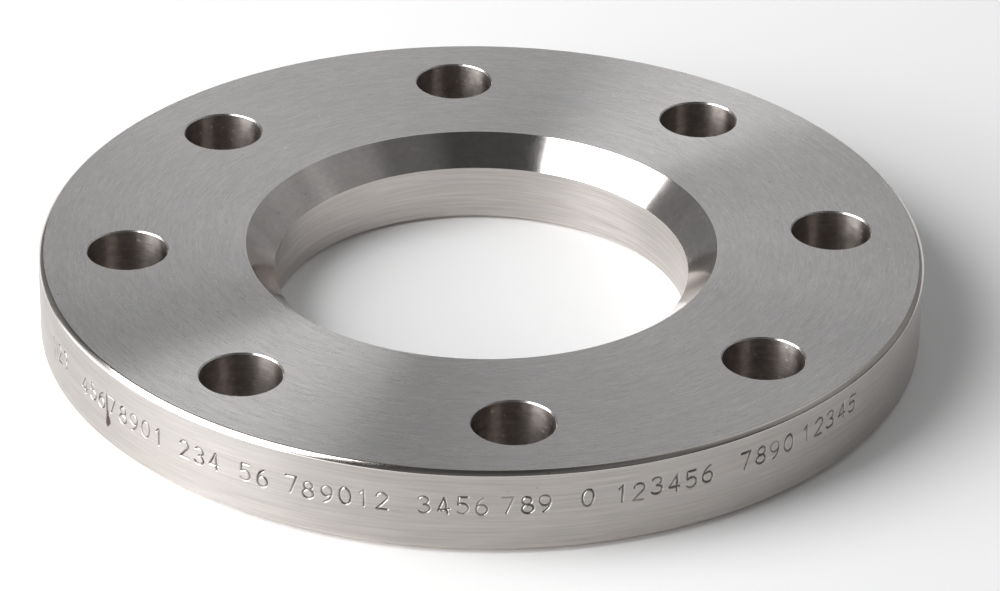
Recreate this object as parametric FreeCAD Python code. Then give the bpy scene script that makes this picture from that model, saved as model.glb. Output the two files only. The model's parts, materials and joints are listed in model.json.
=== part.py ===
# Loose plate flange for a lapped pipe end: a DN 80, PN 10/16 ring, machined all over from one plate.
# The ring lies on its plain back face with its seat side up. +Z runs up the bore's axis and the origin is
# the centre of the back face. The bolt holes straddle the X and Y axes, as on any pipe flange.
# All sizes are in millimetres.
import FreeCAD, Part
import math
import os

# Ring
outside_diameter = 200.0
thickness = 20.0
bore_diameter = 94.0

# Edges of the ring: the seat side is dressed lightly, the back face a little more
front_rim_chamfer = 1.0
back_rim_chamfer = 1.5
back_bore_chamfer = 1.0

# Cone at the front of the bore, which clears the rolled corner of the lapped pipe end or collar
seat_cone_depth = 6.4
seat_cone_angle = 45.0  # degrees between the cone's wall and the bore's axis

# Bolt holes
bolt_circle_diameter = 160.0
bolt_hole_count = 8
bolt_hole_diameter = 18.0
bolt_hole_chamfer = 0.3

# How far a cutting tool runs on past the face that it leaves
tool_overrun = 2.0

# Everything below follows from the sizes above
outside_radius = outside_diameter / 2
bore_radius = bore_diameter / 2
bolt_circle_radius = bolt_circle_diameter / 2
bolt_hole_radius = bolt_hole_diameter / 2
bolt_hole_pitch = 360.0 / bolt_hole_count
first_bolt_hole_angle = bolt_hole_pitch / 2  # half a pitch off +X, so that no hole lies on an axis

AXIS_POINT = FreeCAD.Vector(0, 0, 0)
AXIS = FreeCAD.Vector(0, 0, 1)


def turned(profile):
    """The solid that a closed profile of (radius, height) points sweeps in one turn about the Z axis."""
    points = [FreeCAD.Vector(radius, 0, height) for radius, height in profile]
    outline = Part.makePolygon(points + points[:1])
    return Part.Face(outline).revolve(AXIS_POINT, AXIS, 360)


def turned_ring():
    """The plate as it leaves the lathe: disc, chamfered rim, bore and plain edges, without its seat cone."""
    return turned([
        (bore_radius + back_bore_chamfer, 0),
        (outside_radius - back_rim_chamfer, 0),
        (outside_radius, back_rim_chamfer),
        (outside_radius, thickness - front_rim_chamfer),
        (outside_radius - front_rim_chamfer, thickness),
        (bore_radius, thickness),
        (bore_radius, back_bore_chamfer),
    ])


def seat_cone_tool():
    """The cone that opens the front of the bore. It starts at the bore's wall and runs on past the front face."""
    slope = math.tan(math.radians(seat_cone_angle))
    height = seat_cone_depth + tool_overrun
    return turned([
        (0, thickness - seat_cone_depth),
        (bore_radius, thickness - seat_cone_depth),
        (bore_radius + height * slope, thickness + tool_overrun),
        (0, thickness + tool_overrun),
    ])


def bolt_hole_tool():
    """A drill on the Z axis with a 45 degree countersink at each face, to be moved to each hole's place."""
    mouth_radius = bolt_hole_radius + bolt_hole_chamfer + tool_overrun
    return turned([
        (0, -tool_overrun),
        (mouth_radius, -tool_overrun),
        (bolt_hole_radius, bolt_hole_chamfer),
        (bolt_hole_radius, thickness - bolt_hole_chamfer),
        (mouth_radius, thickness + tool_overrun),
        (0, thickness + tool_overrun),
    ])


def bolt_hole_places():
    """The centre of each bolt hole at the back face."""
    places = []
    for number in range(bolt_hole_count):
        angle = math.radians(first_bolt_hole_angle + number * bolt_hole_pitch)
        places.append(FreeCAD.Vector(
            bolt_circle_radius * math.cos(angle),
            bolt_circle_radius * math.sin(angle),
            0,
        ))
    return places


def flange():
    """The whole flange: the turned ring, its seat cone and the circle of bolt holes."""
    ring = turned_ring().cut(seat_cone_tool())
    drill = bolt_hole_tool()
    for place in bolt_hole_places():
        ring = ring.cut(drill.translated(place))
    return ring


os.makedirs("parts", exist_ok=True)
flange().exportStep("parts/flange.step")
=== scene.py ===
import json
import math
import random

import bpy
import numpy as np
from mathutils import Matrix, Vector


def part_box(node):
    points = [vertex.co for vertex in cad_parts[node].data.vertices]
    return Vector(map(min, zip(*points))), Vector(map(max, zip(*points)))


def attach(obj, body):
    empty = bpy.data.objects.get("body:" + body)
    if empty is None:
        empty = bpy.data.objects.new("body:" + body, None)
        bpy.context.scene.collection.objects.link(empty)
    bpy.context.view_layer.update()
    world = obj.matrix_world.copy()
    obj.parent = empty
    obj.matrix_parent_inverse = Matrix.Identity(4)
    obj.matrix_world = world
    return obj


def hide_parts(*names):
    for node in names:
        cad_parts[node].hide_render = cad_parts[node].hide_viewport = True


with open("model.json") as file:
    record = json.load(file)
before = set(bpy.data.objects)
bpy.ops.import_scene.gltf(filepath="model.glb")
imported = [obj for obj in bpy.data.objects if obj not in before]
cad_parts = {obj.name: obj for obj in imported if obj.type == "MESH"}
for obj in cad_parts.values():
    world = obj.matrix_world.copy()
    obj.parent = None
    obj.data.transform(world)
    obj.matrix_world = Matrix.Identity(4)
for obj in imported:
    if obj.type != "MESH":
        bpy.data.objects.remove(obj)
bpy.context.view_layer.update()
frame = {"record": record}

MM = 0.001

# Sizes of the ring, in metres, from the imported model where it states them
MOUNTS = {mount["name"]: mount for mount in frame["record"]["mounts"]}
RING_LOW, RING_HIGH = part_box("flange")
RING_RADIUS = RING_HIGH.x
THICKNESS = RING_HIGH.z
BORE_RADIUS = MOUNTS["bore"]["dims"]["r_mm"] * MM
BOLT_CIRCLE_RADIUS = MOUNTS["bolt_holes"]["dims"]["pcd_mm"] / 2 * MM
BOLT_HOLE_RADIUS = MOUNTS["bolt_holes"]["dims"]["hole_r_mm"] * MM
BOLT_HOLES = MOUNTS["bolt_holes"]["dims"]["count"]
SEAT_CONE_DEPTH = 6.4 * MM
FRONT_RIM_CHAMFER = 1.0 * MM
BACK_RIM_CHAMFER = 1.5 * MM
BACK_BORE_CHAMFER = 1.0 * MM
BOLT_HOLE_CHAMFER = 0.3 * MM

# The front rim chamfer bulges a little: where its middle lies, in from the rim and down from the front face
CROWN_IN = 0.362 * MM
CROWN_DOWN = 0.464 * MM

# Rounding of each machined edge. RIM_EDGE and FRONT_EDGE are the lower and the upper edge of the front rim
# chamfer, CROWN_EDGE is the bulge between them, and HOLE_EDGE is for the bolt holes.
CUT_EDGE = 0.10 * MM
RIM_EDGE = 0.30 * MM
FRONT_EDGE = 0.50 * MM
CROWN_EDGE = 3.1 * MM
HOLE_EDGE = 0.06 * MM
CORNER_STEPS = 3

# The mesh has one column of faces for each degree round the ring. Spokes part the bolt holes' shares of the
# flat faces.
COLUMNS = 360
SECTOR = COLUMNS // BOLT_HOLES
SPOKE_STEPS = 15

# Row of stamped digits round the front of the rim: plain figures that count from 1 to 0 and start again.
# Its angles are given as the camera sees them, each group as (angle of its first digit, how many digits).
DIGIT_HEIGHT = 4.0 * MM
DIGIT_WIDTH = 2.45 * MM
DIGIT_PITCH = 4.0 * MM
DIGIT_GROUPS = [
    (-159.9, 3), (-149.2, 8), (-128.6, 3), (-119.4, 2), (-113.0, 6), (-96.4, 4),
    (-86.4, 3), (-76.7, 1), (-72.5, 6), (-55.5, 4), (-45.6, 5),
]
ROW_START = -164.0
ROW_END = -34.0
ROW_LEFT_HEIGHT = 11.05 * MM
ROW_BEND_ANGLE = -106.0  # left of it the row is nearly level, and right of it the row climbs
ROW_BEND = 0.3 * MM
ROW_CLIMB = 0.02 * MM  # half of its climb for each degree
ROW_MARGIN = 0.7 * MM

# How unevenly the digits are struck: tilt in degrees, shift to the side and up or down in mm, depth as a share
# of the full depth, and how much deeper the head or the foot of a digit can be
TILT_SPREAD = 3.0
SIDE_SPREAD = 0.12
HEIGHT_SPREAD = 0.16
LEAST_DEPTH = 0.5
HEEL_LIMIT = 0.45
LEAST_HEEL = 0.25
MOST_HEEL = 1.3

# One stroke of a digit: a groove with a burr along both its sides
STROKE_HALF_WIDTH = 0.25 * MM
STROKE_DEPTH = 0.30 * MM
STROKE_LIP = 0.022 * MM
STROKE_LIP_WIDTH = 0.16 * MM
FINE_STEPS = 11  # fine columns in each degree of the stamped row

# Dark stains on the rim, each as (angle in degrees as the camera sees it, height, half width and half height
# in mm, strength)
RIM_STAINS = [
    (-143.4, 10.8, 0.40, 3.4, 0.75),
    (-143.3, 8.0, 0.55, 1.8, 0.85),
    (-143.2, 6.9, 0.95, 1.40, 0.97),
    (-143.45, 5.9, 0.60, 0.80, 0.95),
    (-159.8, 8.6, 0.45, 1.6, 0.45),
    (-158.6, 11.0, 0.40, 2.8, 0.35),
    (-157.4, 12.0, 0.35, 2.0, 0.25),
]

# Camera: where it stands round the ring, how high, how far from the middle of the front face, and its aim
CAMERA_AZIMUTH = 17.24
CAMERA_ELEVATION = 28.78
CAMERA_DISTANCE = 1.0088
CAMERA_ROLL = 0.0186
CAMERA_LENS = 160.3
CAMERA_SENSOR = 36.0
CAMERA_AIM_RIGHT = 0.0043
CAMERA_AIM_UP = -0.0124

# Light of the studio's walls: a faint level all round, and soft patches as (degrees round from the camera's
# right towards the back, degrees up, how many degrees it reaches from its middle, strength). A patch has its
# full strength within WALL_PATCH_CORE degrees of its middle.
WALL_LEVEL = 0.06
WALL_PATCH_CORE = 4
WALL_LIGHTS = [
    (90, 6, 34, 0.03), (135, 6, 34, 0.16), (180, 6, 34, 1.70), (225, 6, 34, 1.95), (270, 6, 34, 0.22),
    (315, 6, 34, 0.05), (45, 32, 34, 0.19), (90, 32, 34, 0.04), (180, 32, 34, 0.16), (270, 32, 34, 0.05),
    (315, 32, 34, 0.05), (45, 62, 34, 0.66), (100, 58, 24, 0.14), (-35, 54, 20, 0.06), (0, 44, 20, 0.19),
    (22, 27, 20, 0.10), (4, 26, 16, 0.14), (45, 8, 22, 0.07), (62, 0, 16, 0.13), (160, 0, 18, 2.2),
    (200, 20, 24, 3.0),
]

# The key lamp: the direction it comes from and the direction its long side lies in, as the camera sees them
KEY_LAMP_FROM = (-0.688, -0.107, 0.718)
KEY_LAMP_LIES = (0.489, -0.787, 0.374)

FLOOR_RADIUS = 3.5


class Skin:
    """Points, normals and faces of one closed mesh, collected before Blender gets them."""

    def __init__(self):
        self.points = []
        self.normals = []
        self.stamped = []
        self.faces = []
        self.looks = []

    def point(self, place, normal, stamped=0.0):
        self.points.append(tuple(place))
        self.normals.append(tuple(Vector(normal).normalized()))
        self.stamped.append(stamped)
        return len(self.points) - 1

    def face(self, corners, look):
        self.faces.append(tuple(corners))
        self.looks.append(look)

    def ring(self, centre, angles, radius, height, normal):
        """A closed ring of points at these angles round an upright axis. The normal is (outwards, up)."""
        points = []
        for angle in angles:
            c, s = math.cos(angle), math.sin(angle)
            place = (centre[0] + radius * c, centre[1] + radius * s, height)
            points.append(self.point(place, (normal[0] * c, normal[0] * s, normal[1])))
        return points

    def band(self, low, high, look, closed=True):
        """Faces between two rows of as many points. They face outwards where low to high goes up."""
        count = len(low)
        for i in range(count if closed else count - 1):
            j = (i + 1) % count
            self.face([low[i], low[j], high[j], high[i]], look)

    def fan(self, coarse, fine, look):
        """Faces between two points and a finer row of points that starts beside the first of them and runs
        clockwise round the fan, seen from outside."""
        middle = len(fine) // 2
        for i in range(middle):
            self.face([coarse[0], fine[i + 1], fine[i]], look)
        self.face([coarse[0], coarse[1], fine[middle]], look)
        for i in range(middle, len(fine) - 1):
            self.face([coarse[1], fine[i + 1], fine[i]], look)

    def mesh(self, name, materials):
        data = bpy.data.meshes.new(name)
        data.from_pydata(self.points, [], self.faces)
        for material in materials:
            data.materials.append(material)
        data.polygons.foreach_set("material_index", self.looks)
        data.polygons.foreach_set("use_smooth", [True] * len(self.faces))
        data.update()
        data.normals_split_custom_set_from_vertices(self.normals)
        data.attributes.new("stamped", "FLOAT", "POINT").data.foreach_set("value", self.stamped)
        return data


def rounded(corners, radii):
    """A closed outline of (outwards, up) corners with each corner rounded. Gives (place, normal) pairs."""
    result = []
    count = len(corners)
    for i, radius in enumerate(radii):
        corner = Vector(corners[i])
        before = (Vector(corners[i - 1]) - corner).normalized()
        after = (Vector(corners[(i + 1) % count]) - corner).normalized()
        half = before.angle(after) / 2
        centre = corner + (before + after).normalized() * (radius / math.sin(half))
        first = Vector((-before.y, before.x))
        last = Vector((after.y, -after.x))
        for step in range(CORNER_STEPS + 1):
            normal = first.lerp(last, step / CORNER_STEPS).normalized()
            result.append((centre + normal * radius, normal))
    return result


LOOK_NAMES = [
    "front_face", "back_face", "rim", "front_rim_chamfer", "back_chamfer",
    "seat_cone", "bore_wall", "bolt_hole", "bolt_hole_edge",
]
LOOKS = {name: i for i, name in enumerate(LOOK_NAMES)}


def bolt_hole_centres():
    step = 2 * math.pi / BOLT_HOLES
    centres = []
    for k in range(BOLT_HOLES):
        angle = (k + 0.5) * step
        centres.append((BOLT_CIRCLE_RADIUS * math.cos(angle), BOLT_CIRCLE_RADIUS * math.sin(angle)))
    return centres


def plate_loops(skin, inner, outer, up):
    """The outline of each bolt hole's share of a flat face, counter-clockwise from above, as lists of
    points. The face runs from an inner to an outer ring of points, and its normal points up or down."""
    spokes = []
    for k in range(BOLT_HOLES):
        start, stop = Vector(skin.points[inner[k * SECTOR]]), Vector(skin.points[outer[k * SECTOR]])
        between = [
            skin.point(start.lerp(stop, step / SPOKE_STEPS), (0, 0, up)) for step in range(1, SPOKE_STEPS)
        ]
        spokes.append(between)
    loops = []
    for k in range(BOLT_HOLES):
        columns = [(k * SECTOR + i) % COLUMNS for i in range(SECTOR + 1)]
        loop = [outer[c] for c in columns]
        loop += spokes[(k + 1) % BOLT_HOLES][::-1]
        loop += [inner[c] for c in reversed(columns)]
        loop += spokes[k]
        loops.append(loop)
    return loops


def hole_angles(skin, loop, centre):
    """The angle of each point of a loop as a bolt hole's centre sees it."""
    return [math.atan2(skin.points[i][1] - centre[1], skin.points[i][0] - centre[0]) for i in loop]


def bolt_hole(skin, centre, front_loop, back_loop):
    """One bolt hole's wall and its two mouths, joined to the flat faces round them."""
    angles = hole_angles(skin, front_loop, centre)
    wall, mouth = BOLT_HOLE_RADIUS, BOLT_HOLE_RADIUS + BOLT_HOLE_CHAMFER
    flat = mouth + 1.0 * MM  # only closes the outline: no faces are built there
    outline = rounded(
        [
            (mouth, 0),
            (flat, 0),
            (flat, THICKNESS),
            (mouth, THICKNESS),
            (wall, THICKNESS - BOLT_HOLE_CHAMFER),
            (wall, BOLT_HOLE_CHAMFER),
        ],
        [HOLE_EDGE] * 6,
    )
    corner = CORNER_STEPS + 1
    stations = outline[3 * corner:] + outline[:corner]
    rings = [skin.ring(centre, angles, place.x, place.y, normal) for place, normal in stations]
    for i in range(len(rings) - 1):
        on_wall = i == 2 * corner - 1
        skin.band(rings[i], rings[i + 1], LOOKS["bolt_hole" if on_wall else "bolt_hole_edge"])
    skin.band(front_loop, rings[0], LOOKS["front_face"])
    skin.band(rings[-1], back_loop, LOOKS["back_face"])


def arc(x, y, width, height, start, stop, steps=12):
    """Points along part of an ellipse, in degrees."""
    points = []
    for i in range(steps + 1):
        t = math.radians(start + (stop - start) * i / steps)
        points.append((x + width * math.cos(t), y + height * math.sin(t)))
    return points


# Single-stroke figures in a cell one wide and one high
FIGURES = {
    "0": [arc(0.5, 0.5, 0.5, 0.5, 0, 360, 24)],
    "1": [[(0.22, 0.80), (0.55, 1.0), (0.55, 0.0)]],
    "2": [arc(0.5, 0.73, 0.47, 0.27, 170, -25) + [(0.03, 0.0), (1.0, 0.0)]],
    "3": [arc(0.45, 0.76, 0.45, 0.24, 150, -90), arc(0.45, 0.26, 0.52, 0.26, 90, -150)],
    "4": [[(0.74, 0.0), (0.74, 1.0), (0.0, 0.28), (1.0, 0.28)]],
    "5": [[(0.92, 1.0), (0.14, 1.0), (0.08, 0.55)] + arc(0.46, 0.31, 0.52, 0.31, 130, -145)],
    "6": [arc(0.5, 0.31, 0.48, 0.31, 0, 360, 20), arc(0.95, 0.33, 0.93, 0.70, 178, 105)],
    "7": [[(0.0, 1.0), (1.0, 1.0), (0.36, 0.0)]],
    "8": [arc(0.5, 0.76, 0.40, 0.24, 0, 360, 18), arc(0.5, 0.26, 0.50, 0.26, 0, 360, 20)],
    "9": [arc(0.5, 0.69, 0.48, 0.31, 0, 360, 20), arc(0.05, 0.67, 0.93, 0.70, -2, -75)],
}


def distance_to_strokes(across, up, strokes):
    """How far each point of a grid is from the nearest of some strokes."""
    nearest = np.full(across.shape, 1.0)
    for stroke in strokes:
        for (ax, ay), (bx, by) in zip(stroke, stroke[1:]):
            dx, dy = bx - ax, by - ay
            along = np.clip(((across - ax) * dx + (up - ay) * dy) / (dx * dx + dy * dy), 0, 1)
            nearest = np.minimum(nearest, np.hypot(across - ax - along * dx, up - ay - along * dy))
    return nearest


def row_height(angle):
    """Height of the middle of the stamped row at an angle in degrees as the camera sees it."""
    climb = ROW_CLIMB * (angle - ROW_BEND_ANGLE)
    return ROW_LEFT_HEIGHT + climb + np.hypot(climb, ROW_BEND)


def digit_places():
    """Each digit of the row as (figure, angle of its middle in degrees as the camera sees it)."""
    pitch = math.degrees(DIGIT_PITCH / RING_RADIUS)
    places = []
    for start, count in DIGIT_GROUPS:
        for number in range(count):
            places.append((str((len(places) + 1) % 10), start + number * pitch))
    return places


def stamp_digit(relief, stamped, across, up, figure, dice):
    """Cuts one digit into part of the row's grids, whose zero is the digit's middle: how far each point
    stands out, and how deep it is in a stroke, from 0 to about 1, or below 0 on the burr beside it."""
    tilt = math.radians(dice.gauss(0, TILT_SPREAD))
    shift = Vector((dice.gauss(0, SIDE_SPREAD), dice.gauss(0, HEIGHT_SPREAD))) * MM
    depth = dice.uniform(LEAST_DEPTH, 1.0)
    heel = dice.uniform(-HEEL_LIMIT, HEEL_LIMIT)
    turn = Matrix.Rotation(tilt, 2)
    placed = []
    for stroke in FIGURES[figure]:
        centred = [Vector(((x - 0.5) * DIGIT_WIDTH, (y - 0.5) * DIGIT_HEIGHT)) for x, y in stroke]
        placed.append([tuple(turn @ point + shift) for point in centred])
    away = distance_to_strokes(across, up, placed)
    here = depth * np.clip(1 + heel * (up - shift.y) / (DIGIT_HEIGHT / 2), LEAST_HEEL, MOST_HEEL)
    groove = here * np.clip(1 - (away / STROKE_HALF_WIDTH) ** 2, 0, None)
    beside = (away - STROKE_HALF_WIDTH) / STROKE_LIP_WIDTH
    lip = here * np.exp(-(beside ** 2)) * (away > STROKE_HALF_WIDTH * 0.8)
    relief += STROKE_LIP * lip - STROKE_DEPTH * groove
    stamped += groove - 0.6 * lip


def stamped_row():
    """The stamped row's first and last column, and its grids: angle, height, relief, depth in a stroke, and
    the slopes of the relief upwards and along the row."""
    first = math.floor(ROW_START + CAMERA_AZIMUTH)
    last = math.ceil(ROW_END + CAMERA_AZIMUTH)
    step = 1 / FINE_STEPS
    seen_angles = np.linspace(first, last, (last - first) * FINE_STEPS + 1) - CAMERA_AZIMUTH
    half = DIGIT_HEIGHT / 2 + ROW_MARGIN
    rows = round(2 * half / (math.radians(step) * RING_RADIUS)) + 1
    seen, offset = np.meshgrid(seen_angles, np.linspace(-half, half, rows))
    relief, stamped = np.zeros(seen.shape), np.zeros(seen.shape)
    dice = random.Random(4)
    for figure, angle in digit_places():
        near = np.abs(seen_angles - angle) < math.degrees(DIGIT_PITCH / RING_RADIUS)
        across = np.radians(seen[:, near] - angle) * RING_RADIUS
        cut_relief, cut_stamped = relief[:, near], stamped[:, near]
        stamp_digit(cut_relief, cut_stamped, across, offset[:, near], figure, dice)
        relief[:, near], stamped[:, near] = cut_relief, cut_stamped
    middle = row_height(seen)
    slope_up, slope_along = np.gradient(relief, offset[:, 0], np.radians(seen_angles) * RING_RADIUS)
    climb = np.gradient(middle[0], np.radians(seen_angles) * RING_RADIUS)
    slope_along -= slope_up * climb
    for field in (relief, slope_up, slope_along, stamped):
        field[[0, -1], :] = 0
        field[:, [0, -1]] = 0
    return first, last, seen + CAMERA_AZIMUTH, middle + offset, relief, stamped, slope_up, slope_along


def rim(skin, low, high):
    """The outer wall between its two rings: plain faces, and a fine grid of faces where the digits are
    stamped. The burrs only lean the normals, so that no point stands out of the wall."""
    first, last, angles, heights, relief, stamped, slope_up, slope_along = stamped_row()
    grid = []
    for row in range(angles.shape[0]):
        line = []
        for column in range(angles.shape[1]):
            turn = math.radians(angles[row, column])
            c, s = math.cos(turn), math.sin(turn)
            radius = RING_RADIUS + min(relief[row, column], 0)
            along = -slope_along[row, column]
            normal = (c - along * s, s + along * c, -slope_up[row, column])
            place = (radius * c, radius * s, heights[row, column])
            line.append(skin.point(place, normal, stamped[row, column]))
        grid.append(line)
    for row in range(len(grid) - 1):
        skin.band(grid[row], grid[row + 1], LOOKS["rim"], closed=False)
    for k in range(last - first):
        here, there = (first + k) % COLUMNS, (first + k + 1) % COLUMNS
        fine = slice(k * FINE_STEPS, (k + 1) * FINE_STEPS + 1)
        skin.fan([low[here], low[there]], grid[0][fine], LOOKS["rim"])
        skin.fan([high[there], high[here]], grid[-1][fine][::-1], LOOKS["rim"])
    left, right = [line[0] for line in grid], [line[-1] for line in grid]
    for column in range(last, first + COLUMNS):
        here, there = column % COLUMNS, (column + 1) % COLUMNS
        if column == first + COLUMNS - 1:
            skin.fan([high[here], low[here]], [high[there]] + left[::-1] + [low[there]], LOOKS["rim"])
        elif column == last:
            skin.fan([low[there], high[there]], [low[here]] + right + [high[here]], LOOKS["rim"])
        else:
            skin.face([low[here], low[there], high[there], high[here]], LOOKS["rim"])


def ring_skin():
    """The whole flange as one closed mesh, with every edge broken and the digits stamped in."""
    skin = Skin()
    outline = rounded(
        [
            (BORE_RADIUS + BACK_BORE_CHAMFER, 0),
            (RING_RADIUS - BACK_RIM_CHAMFER, 0),
            (RING_RADIUS, BACK_RIM_CHAMFER),
            (RING_RADIUS, THICKNESS - FRONT_RIM_CHAMFER),
            (RING_RADIUS - CROWN_IN, THICKNESS - CROWN_DOWN),
            (RING_RADIUS - FRONT_RIM_CHAMFER, THICKNESS),
            (BORE_RADIUS + SEAT_CONE_DEPTH, THICKNESS),
            (BORE_RADIUS, THICKNESS - SEAT_CONE_DEPTH),
            (BORE_RADIUS, BACK_BORE_CHAMFER),
        ],
        [CUT_EDGE, CUT_EDGE, CUT_EDGE, RIM_EDGE, CROWN_EDGE, FRONT_EDGE, CUT_EDGE, CUT_EDGE, CUT_EDGE],
    )
    angles = [2 * math.pi * i / COLUMNS for i in range(COLUMNS)]
    rings = [skin.ring((0, 0), angles, place.x, place.y, normal) for place, normal in outline]
    faces_after_corner = [
        "back_face", "back_chamfer", "rim", "front_rim_chamfer", "front_rim_chamfer", "front_face",
        "seat_cone", "bore_wall", "back_chamfer",
    ]
    corner_looks = [
        "back_chamfer", "back_chamfer", "back_chamfer", "front_rim_chamfer", "front_rim_chamfer",
        "front_rim_chamfer", "seat_cone", "seat_cone", "back_chamfer",
    ]
    corner = CORNER_STEPS + 1
    flat = {}
    for k, (side, edge) in enumerate(zip(faces_after_corner, corner_looks)):
        for step in range(CORNER_STEPS):
            skin.band(rings[k * corner + step], rings[k * corner + step + 1], LOOKS[edge])
        last, following = rings[(k + 1) * corner - 1], rings[(k + 1) * corner % len(rings)]
        if side in ("front_face", "back_face"):
            flat[side] = (last, following)
        elif side == "rim":
            rim(skin, last, following)
        else:
            skin.band(last, following, LOOKS[side])
    back = plate_loops(skin, flat["back_face"][0], flat["back_face"][1], -1)
    front = plate_loops(skin, flat["front_face"][1], flat["front_face"][0], 1)
    for k, centre in enumerate(bolt_hole_centres()):
        bolt_hole(skin, centre, front[k], back[k])
    return skin


class Nodes:
    """A short way to write a material's nodes."""

    def __init__(self, name):
        self.material = bpy.data.materials.new(name)
        self.material.use_nodes = True
        self.tree = self.material.node_tree
        self.shader = self.tree.nodes["Principled BSDF"]

    def add(self, kind, inputs=(), **settings):
        node = self.tree.nodes.new("ShaderNode" + kind)
        for key, value in settings.items():
            setattr(node, key, value)
        for key, value in dict(inputs).items():
            if isinstance(value, bpy.types.NodeSocket):
                self.tree.links.new(value, node.inputs[key])
            else:
                node.inputs[key].default_value = value
        return node

    def math(self, operation, a, b=0.0):
        return self.add("Math", {0: a, 1: b}, operation=operation).outputs[0]

    def vector(self, operation, a, b=(0, 0, 0)):
        return self.add("VectorMath", {0: a, 1: b}, operation=operation).outputs[0]

    def length(self, a):
        return self.add("VectorMath", {0: a}, operation="LENGTH").outputs["Value"]

    def combine(self, x, y, z):
        return self.add("CombineXYZ", {0: x, 1: y, 2: z}).outputs[0]

    def dot(self, a, b):
        return self.add("VectorMath", {0: a, 1: b}, operation="DOT_PRODUCT").outputs["Value"]

    def range(self, value, low, high, to_low=0.0, to_high=1.0):
        return self.add("MapRange", {0: value, 1: low, 2: high, 3: to_low, 4: to_high}).outputs[0]

    def noise(self, vector, detail=2.0, roughness=0.5):
        inputs = {"Vector": vector, "Scale": 1.0, "Detail": detail, "Roughness": roughness}
        return self.add("TexNoise", inputs).outputs[0]

    def scaled(self, vector, size):
        return self.add("VectorMath", {0: vector, "Scale": 1 / size}, operation="SCALE").outputs[0]

    def blend(self, factor, a, b, kind="MIX"):
        node = self.add("Mix", {0: factor, 6: a, 7: b}, data_type="RGBA", blend_type=kind)
        return node.outputs[2]

    def link(self, value, socket):
        self.tree.links.new(value, self.shader.inputs[socket])

    def set(self, **values):
        for key, value in values.items():
            self.shader.inputs[key.replace("_", " ")].default_value = value


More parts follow.
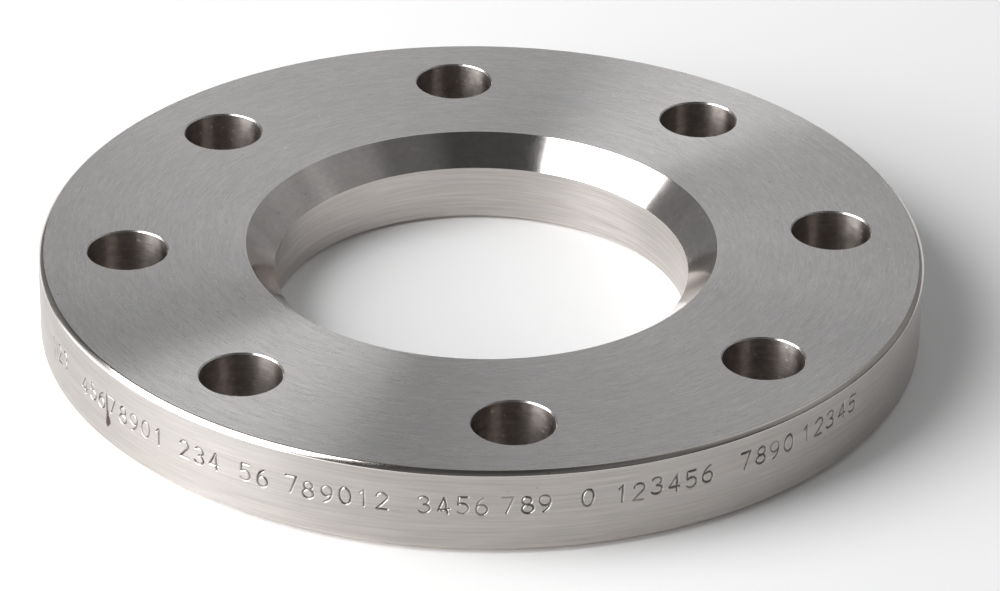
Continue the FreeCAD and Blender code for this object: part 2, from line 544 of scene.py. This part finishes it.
class Turned:
    """Bare stainless steel cut on a lathe or drilled. Its gloss is drawn out across the tool's lines: up the
    wall where it is upright, and outwards from the axis elsewhere. A pattern is a value from 0 to 1."""

    def __init__(self, name, upright, colour, roughness, anisotropy):
        self.nodes = nodes = Nodes(name)
        self.place = nodes.add("TexCoord").outputs["Object"]
        self.flat = nodes.vector("MULTIPLY", self.place, (1, 1, 0))
        split = nodes.add("SeparateXYZ", {0: self.place}).outputs
        self.x, self.y, self.height = split[0], split[1], split[2]
        self.across = self.height if upright else nodes.length(self.flat)
        tangent = nodes.combine(0.0, 0.0, 1.0) if upright else nodes.vector("NORMALIZE", self.flat)
        nodes.link(tangent, "Tangent")
        nodes.set(Metallic=1.0, Anisotropic=anisotropy)
        self.colour = (*colour, 1)
        self.roughness = roughness
        self.relief = None

    def lines(self, length, width, seed, detail=2.0):
        """Noise drawn out along the tool's lines, from about 0.25 to 0.75."""
        nodes = self.nodes
        vector = nodes.combine(
            nodes.math("DIVIDE", self.x, length),
            nodes.math("DIVIDE", self.y, length),
            nodes.math("DIVIDE", self.across, width),
        )
        return nodes.noise(nodes.vector("ADD", vector, (seed * 7.3, seed * 3.1, seed * 1.7)), detail)

    def clouds(self, size, seed, detail=3.0):
        """Soft noise of one size all over, from about 0.25 to 0.75."""
        nodes = self.nodes
        vector = nodes.vector("ADD", nodes.scaled(self.place, size), (seed * 5.9, seed * 2.3, seed))
        return nodes.noise(vector, detail, 0.6)

    def specks(self, spacing, size, share, seed):
        """Small dots, one in each cell of a random share of cells."""
        nodes = self.nodes
        vector = nodes.vector("ADD", nodes.scaled(self.place, spacing), (seed * 4.7, seed * 1.3, seed * 2.9))
        cells = nodes.add("TexVoronoi", {"Vector": vector, "Scale": 1.0})
        pick = nodes.add("SeparateXYZ", {0: cells.outputs["Color"]}).outputs
        edge = nodes.math("MULTIPLY", nodes.math("ADD", pick[1], 0.3), size / spacing)
        dot = nodes.range(nodes.math("DIVIDE", cells.outputs["Distance"], edge), 1.0, 0.6)
        return nodes.math("MULTIPLY", dot, nodes.math("LESS_THAN", pick[0], share))

    def scratches(self, angle, length, width, share, seed):
        """Straight hairlines of one direction over the flat of the part, in degrees from X."""
        nodes = self.nodes
        turn = math.radians(angle)
        along = nodes.dot(self.place, (math.cos(turn), math.sin(turn), 0.3))
        aside = nodes.dot(self.place, (-math.sin(turn), math.cos(turn), 0.4))
        vector = nodes.combine(
            nodes.math("DIVIDE", along, length),
            nodes.math("DIVIDE", aside, width),
            float(seed),
        )
        return nodes.range(nodes.noise(vector, 0.0), 1 - share, 1 - share + 0.04)

    def rim_spot(self, angle, height, half_width, half_height):
        """An uneven oval spot on the outer wall, at an angle in degrees as the camera sees it. Sizes are in
        millimetres."""
        nodes = self.nodes
        turn = math.radians(angle + CAMERA_AZIMUTH)
        aside = nodes.dot(self.flat, (-math.sin(turn), math.cos(turn), 0))
        front = nodes.dot(self.flat, (math.cos(turn), math.sin(turn), 0))
        away = nodes.length(nodes.combine(
            nodes.math("DIVIDE", aside, half_width * MM),
            nodes.math("DIVIDE", nodes.math("SUBTRACT", self.height, height * MM), half_height * MM),
            0.0,
        ))
        ragged = nodes.math("ADD", away, nodes.range(self.clouds(0.5 * MM, height), 0.0, 1.0, -0.5, 0.5))
        here = nodes.math("GREATER_THAN", front, 0.0)
        return nodes.math("MULTIPLY", nodes.range(ragged, 1.05, 0.75), here)

    def brighten(self, amount, pattern):
        """Makes the colour lighter and darker with a pattern whose middle is 0.5."""
        level = self.nodes.range(pattern, 0.0, 1.0, 1 - amount, 1 + amount)
        self.colour = self.nodes.blend(1.0, self.colour, self.nodes.combine(level, level, level), "MULTIPLY")

    def tint(self, pattern, cool, warm):
        """Shifts the colour between two tints with a pattern whose middle is 0.5."""
        shade = self.nodes.blend(self.nodes.range(pattern, 0.3, 0.7), (*cool, 1), (*warm, 1))
        self.colour = self.nodes.blend(1.0, self.colour, shade, "MULTIPLY")

    def stain(self, mask, colour, amount):
        """Blends another colour in where a mask is 1."""
        strength = self.nodes.math("MULTIPLY", mask, amount)
        self.colour = self.nodes.blend(strength, self.colour, (*colour, 1))

    def roughen(self, amount, pattern):
        """Makes the surface rougher and smoother with a pattern whose middle is 0.5."""
        change = self.nodes.range(pattern, 0.0, 1.0, -amount, amount)
        self.roughness = self.nodes.math("ADD", self.roughness, change)

    def raise_by(self, depth, pattern):
        """Adds a pattern to the surface's fine relief, in metres."""
        height = self.nodes.math("MULTIPLY", pattern, depth)
        self.relief = height if self.relief is None else self.nodes.math("ADD", self.relief, height)

    def done(self):
        """Connects what was gathered to the shader and gives the material."""
        nodes = self.nodes
        for value, socket in ((self.colour, "Base Color"), (self.roughness, "Roughness")):
            if isinstance(value, bpy.types.NodeSocket):
                nodes.link(value, socket)
            else:
                nodes.shader.inputs[socket].default_value = value
        if self.relief is not None:
            bump = nodes.add("Bump", {"Strength": 1.0, "Distance": 1.0, "Height": self.relief})
            nodes.link(bump.outputs["Normal"], "Normal")
        return nodes.material


# Tints that a steel's colour drifts between
COOL = (0.992, 0.999, 1.008)
WARM = (1.014, 0.998, 0.984)
ROSE = (1.008, 0.996, 0.998)


def flat_face(name, seed):
    """The front and back faces: fine rings left by the facing tool, faint clouds, a few hairlines, and
    bright and dark specks."""
    steel = Turned(name, False, (0.616, 0.602, 0.594), 0.28, 1.0)
    steel.brighten(0.20, steel.lines(3.0 * MM, 0.30 * MM, seed, 3.0))
    steel.brighten(0.12, steel.lines(8 * MM, 0.75 * MM, seed + 6))
    steel.brighten(0.15, steel.clouds(0.4 * MM, seed + 7))
    steel.brighten(0.030, steel.lines(45 * MM, 1.6 * MM, seed + 1))
    steel.brighten(0.045, steel.clouds(9 * MM, seed))
    steel.tint(steel.clouds(16 * MM, seed + 2), COOL, ROSE)
    steel.roughen(0.03, steel.lines(9 * MM, 0.5 * MM, seed + 3))
    steel.raise_by(0.0014 * MM, steel.lines(5 * MM, 0.26 * MM, seed + 4))
    for angle in (17, 74, 128):
        hairlines = steel.scratches(angle, 9 * MM, 0.12 * MM, 0.17, seed + angle)
        steel.stain(hairlines, (0.80, 0.80, 0.80), 0.3)
    for angle in (-9, 52):
        steel.stain(steel.scratches(angle, 70 * MM, 0.16 * MM, 0.16, seed + angle), (0.78, 0.78, 0.78), 0.25)
    steel.stain(steel.specks(6 * MM, 0.32 * MM, 0.6, seed), (0.92, 0.92, 0.90), 0.8)
    steel.stain(steel.specks(8 * MM, 0.35 * MM, 0.3, seed + 5), (0.22, 0.21, 0.20), 0.5)
    return steel.done()


def rim_wall():
    """The outer wall: lines of the turning tool, warm tints, dark specks, digits whose strokes are darkened by
    painted shade with some dirt and whose burrs are lightened as a painted highlight, and dark stains."""
    steel = Turned("rim", True, (0.476, 0.451, 0.433), 0.34, 0.85)
    steel.brighten(0.26, steel.lines(13 * MM, 0.30 * MM, 31, 3.0))
    steel.brighten(0.10, steel.lines(70 * MM, 1.3 * MM, 32))
    steel.brighten(0.04, steel.clouds(9 * MM, 33))
    steel.tint(steel.lines(26 * MM, 1.1 * MM, 34), COOL, WARM)
    steel.roughen(0.04, steel.lines(20 * MM, 0.6 * MM, 35))
    steel.raise_by(0.0025 * MM, steel.lines(14 * MM, 0.28 * MM, 36))
    steel.stain(steel.specks(5 * MM, 0.35 * MM, 0.4, 37), (0.30, 0.27, 0.25), 0.6)
    stamped = steel.nodes.add("Attribute", attribute_name="stamped").outputs["Fac"]
    patchy = steel.nodes.range(steel.clouds(1.3 * MM, 38), 0.25, 0.75, 0.45, 1.0)
    # Painted shade with some dirt: the strokes of the digits are darkened in step with their depth, patchily.
    groove_shade_and_dirt = steel.nodes.math("MULTIPLY", steel.nodes.range(stamped, 0.04, 0.50), patchy)
    steel.stain(groove_shade_and_dirt, (0.050, 0.045, 0.040), 0.92)
    # Painted highlight: the burrs beside the strokes are lightened.
    steel.stain(steel.nodes.range(stamped, -0.1, -0.5), (0.85, 0.84, 0.82), 0.2)
    for mark in RIM_STAINS:
        steel.stain(steel.rim_spot(*mark[:4]), (0.075, 0.050, 0.052), mark[4])
    return steel.done()


def bore():
    """The bore wall: coarse feed lines with warm and rosy tints."""
    steel = Turned("bore_wall", True, (0.556, 0.527, 0.508), 0.32, 0.80)
    steel.brighten(0.28, steel.lines(16 * MM, 0.44 * MM, 41))
    steel.brighten(0.06, steel.lines(60 * MM, 1.6 * MM, 42))
    steel.brighten(0.04, steel.clouds(8 * MM, 43))
    steel.tint(steel.lines(24 * MM, 1.0 * MM, 44), COOL, WARM)
    steel.roughen(0.05, steel.lines(26 * MM, 0.8 * MM, 45))
    steel.raise_by(0.004 * MM, steel.lines(18 * MM, 0.5 * MM, 46))
    return steel.done()


def cone():
    """The seat cone: a bright, nearly smooth cut with a haze, small specks and fine lines."""
    steel = Turned("seat_cone", False, (0.680, 0.648, 0.628), 0.11, 0.3)
    steel.brighten(0.14, steel.clouds(1.6 * MM, 51))
    steel.brighten(0.07, steel.lines(25 * MM, 0.4 * MM, 52))
    steel.brighten(0.10, steel.clouds(11 * MM, 53))
    steel.tint(steel.clouds(9 * MM, 54), COOL, ROSE)
    steel.roughen(0.04, steel.clouds(4 * MM, 55))
    steel.stain(steel.specks(2.4 * MM, 0.24 * MM, 0.6, 56), (0.95, 0.95, 0.93), 0.6)
    steel.stain(steel.specks(3.0 * MM, 0.22 * MM, 0.4, 57), (0.2, 0.19, 0.19), 0.5)
    return steel.done()


def chamfer(name, roughness, seed):
    """A chamfer of the rim or of the back of the bore: darker along the edge of the front face and lighter
    below it, as painted shade along that edge and painted light below it."""
    steel = Turned(name, False, (0.620, 0.582, 0.556), roughness, 0.3)
    # Painted shade and light: darker at the top edge of the front rim chamfer, lighter from there down.
    steel.brighten(0.18, steel.nodes.range(steel.height, THICKNESS, THICKNESS - FRONT_RIM_CHAMFER))
    steel.brighten(0.15, steel.lines(30 * MM, 0.25 * MM, seed))
    steel.brighten(0.12, steel.clouds(6 * MM, seed + 1))
    steel.roughen(0.05, steel.clouds(7 * MM, seed + 2))
    steel.stain(steel.specks(5 * MM, 0.5 * MM, 0.5, seed + 3), (0.25, 0.23, 0.22), 0.7)
    return steel.done()


def drilled():
    """The walls of the bolt holes: a dark, brownish colour that is partly painted shade inside the holes, with
    rings and rub marks of the drill.
    """
    # Partly painted shade: the holes' steel is given a much darker colour than the faces.
    steel = Turned("bolt_hole", True, (0.37, 0.330, 0.310), 0.34, 0.95)
    steel.brighten(0.40, steel.lines(4 * MM, 0.28 * MM, 61, 3.0))
    steel.brighten(0.40, steel.clouds(1.4 * MM, 62))
    steel.brighten(0.25, steel.clouds(6 * MM, 63))
    steel.roughen(0.07, steel.clouds(3 * MM, 64))
    steel.raise_by(0.010 * MM, steel.lines(3 * MM, 0.35 * MM, 65))
    steel.stain(steel.specks(2.2 * MM, 0.4 * MM, 0.5, 66), (0.85, 0.82, 0.78), 0.5)
    return steel.done()


def hole_edge():
    """The chamfers at the mouths of the bolt holes: bright and patchy."""
    steel = Turned("bolt_hole_edge", True, (0.66, 0.655, 0.65), 0.2, 0.0)
    steel.brighten(0.45, steel.clouds(0.9 * MM, 71))
    steel.roughen(0.08, steel.clouds(2 * MM, 72))
    return steel.done()


def steels():
    """One material for each name in LOOK_NAMES, in that order."""
    made = {
        "front_face": flat_face("front_face", 1),
        "back_face": flat_face("back_face", 11),
        "rim": rim_wall(),
        "front_rim_chamfer": chamfer("front_rim_chamfer", 0.15, 81),
        "back_chamfer": chamfer("back_chamfer", 0.25, 91),
        "seat_cone": cone(),
        "bore_wall": bore(),
        "bolt_hole": drilled(),
        "bolt_hole_edge": hole_edge(),
    }
    return [made[name] for name in LOOK_NAMES]


def soft_box(name, direction, along, length, width, radiance, distance=1.0):
    """A flat lamp that faces the ring from this direction, its length lying along another, as bright all
    over as its radiance says."""
    data = bpy.data.lights.new(name, "AREA")
    data.shape = "RECTANGLE"
    data.size, data.size_y = length, width
    data.energy = radiance * math.pi * length * width
    z = direction.normalized()
    x = (along - z * along.dot(z)).normalized()
    turn = Matrix((x, z.cross(x), z)).transposed().to_4x4()
    lamp = bpy.data.objects.new(name, data)
    lamp.matrix_world = Matrix.Translation(z * distance) @ turn
    lamp.visible_camera = False
    bpy.context.scene.collection.objects.link(lamp)


def seen_from_camera(x, y, z):
    """A direction given as the camera sees the ring: x to the right, y away from the camera, z up."""
    turn = math.radians(CAMERA_AZIMUTH)
    return Vector((x * math.cos(turn) - y * math.sin(turn), x * math.sin(turn) + y * math.cos(turn), z))


def facing(turn, height):
    """A direction from degrees round the ring, from the camera's right towards the back, and degrees up."""
    turn, height = math.radians(turn), math.radians(height)
    level = math.cos(height)
    return seen_from_camera(math.cos(turn) * level, math.sin(turn) * level, math.sin(height))


def wall_light(tree, look_direction):
    """The light of the studio's walls: faint all round, with a soft patch for each entry of WALL_LIGHTS."""
    core = math.cos(math.radians(WALL_PATCH_CORE))
    total = None
    for turn, height, reach, strength in WALL_LIGHTS:
        dot = tree.nodes.new("ShaderNodeVectorMath")
        dot.operation = "DOT_PRODUCT"
        tree.links.new(look_direction, dot.inputs[0])
        dot.inputs[1].default_value = facing(turn, height)
        ease = tree.nodes.new("ShaderNodeMapRange")
        ease.interpolation_type = "SMOOTHSTEP"
        tree.links.new(dot.outputs["Value"], ease.inputs[0])
        limits = (math.cos(math.radians(reach)), core, 0.0, strength)
        for socket, value in enumerate(limits, 1):
            ease.inputs[socket].default_value = value
        add = tree.nodes.new("ShaderNodeMath")
        add.inputs[0].default_value = WALL_LEVEL
        if total is not None:
            tree.links.new(total, add.inputs[0])
        tree.links.new(ease.outputs[0], add.inputs[1])
        total = add.outputs[0]
    return total


def studio():
    """The light: the walls, a key lamp, a low lamp at the left, and a wide lamp and cards at the back."""
    world = bpy.data.worlds.new("studio")
    bpy.context.scene.world = world
    world.use_nodes = True
    tree = world.node_tree
    direction = tree.nodes.new("ShaderNodeTexCoord").outputs["Generated"]
    tree.links.new(wall_light(tree, direction), tree.nodes["Background"].inputs["Color"])
    soft_box(
        "key_lamp", seen_from_camera(*KEY_LAMP_FROM), seen_from_camera(*KEY_LAMP_LIES),
        length=0.87, width=0.55, radiance=5.75,
    )
    soft_box(
        "low_left_lamp", facing(200, 14), facing(290, 0),
        length=2.6, width=0.9, radiance=5.9, distance=3.0,
    )
    sideways = facing(0, 0)
    back_lamps = [
        # name, degrees up, length, width, radiance, distance
        ("far_back_lamp", 10, 3.0, 0.63, 0.44, 3.0),
        ("back_card_low", 20, 0.45, 0.10, 0.18, 0.45),
        ("back_card_middle", 22, 0.30, 0.12, 0.40, 0.45),
        ("back_card_high", 30, 0.45, 0.12, 0.31, 0.45),
    ]
    for name, height, length, width, radiance, distance in back_lamps:
        soft_box(name, facing(90, height), sideways, length, width, radiance, distance)
    floor()


def floor():
    """A plain pale disc of paper under the ring."""
    bpy.ops.mesh.primitive_circle_add(vertices=128, radius=FLOOR_RADIUS, fill_type="NGON", location=(0, 0, 0))
    disc = bpy.context.object
    disc.name = "floor"
    paper = bpy.data.materials.new("floor_paper")
    paper.use_nodes = True
    shader = paper.node_tree.nodes["Principled BSDF"]
    shader.inputs["Base Color"].default_value = (0.9, 0.9, 0.9, 1)
    shader.inputs["Roughness"].default_value = 1.0
    shader.inputs["Specular IOR Level"].default_value = 0.0
    disc.data.materials.append(paper)


def camera():
    """The photograph's view, from the angles and distance above."""
    scene = bpy.context.scene
    elevation = math.radians(CAMERA_ELEVATION)
    forward = seen_from_camera(0, math.cos(elevation), -math.sin(elevation))
    right = seen_from_camera(1, 0, 0)
    up = right.cross(forward)
    target = Vector((0, 0, THICKNESS))
    place = target - forward * CAMERA_DISTANCE
    aim = (forward + right * CAMERA_AIM_RIGHT + up * CAMERA_AIM_UP).normalized()
    level = aim.cross(Vector((0, 0, 1))).normalized()
    top = level.cross(aim)
    x = level * math.cos(CAMERA_ROLL) + top * math.sin(CAMERA_ROLL)
    y = top * math.cos(CAMERA_ROLL) - level * math.sin(CAMERA_ROLL)
    data = bpy.data.cameras.new("camera")
    data.sensor_width = CAMERA_SENSOR
    data.lens = CAMERA_LENS
    eye = bpy.data.objects.new("camera", data)
    scene.collection.objects.link(eye)
    turn = Matrix((x, y, -aim)).transposed().to_4x4()
    eye.matrix_world = Matrix.Translation(place) @ turn
    scene.camera = eye


def view_settings():
    bpy.context.scene.view_settings.view_transform = "Standard"


camera()
view_settings()
studio()
ring = bpy.data.objects.new("ring", ring_skin().mesh("ring", steels()))
bpy.context.scene.collection.objects.link(ring)
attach(ring, "root")
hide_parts("flange")
